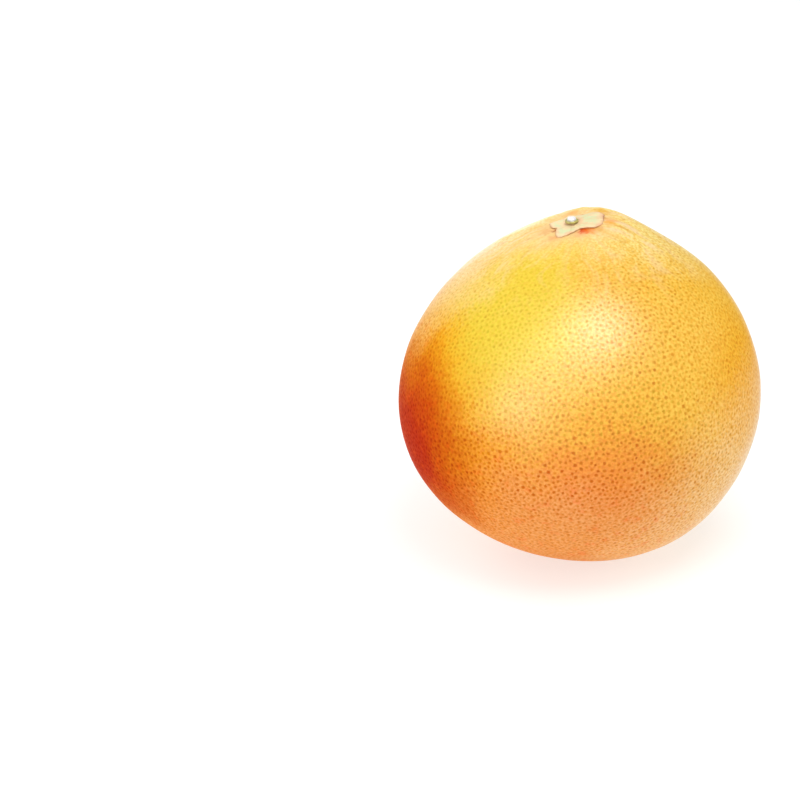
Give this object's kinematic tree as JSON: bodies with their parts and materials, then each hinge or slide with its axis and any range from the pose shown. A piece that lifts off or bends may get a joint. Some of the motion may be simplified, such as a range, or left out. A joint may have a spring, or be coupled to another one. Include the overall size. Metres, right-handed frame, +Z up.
{
  "type": "grapefruit",
  "caption": "Whole ripe grapefruit with its dry calyx and cut stem stub, resting on a small flat spot.",
  "frame": {"origin": "bottom centre of the bounding box, on the flat spot that the fruit rests on", "axes": "+Z up, from the resting spot towards the stem end; -Y is the side that the stem end leans towards and is seen first; +X is to its right"},
  "size_m": [0.1152, 0.1152, 0.1129],
  "materials": {
    "rind": "waxy peel with fine oil glands",
    "dry_calyx": "dry, matt",
    "stem_wood": "green rim with a pale cut face"
  },
  "bodies": {
    "root": {"fruit": "rind", "calyx": "dry_calyx", "stem_stub": "stem_wood"}
  },
  "joints": []
}
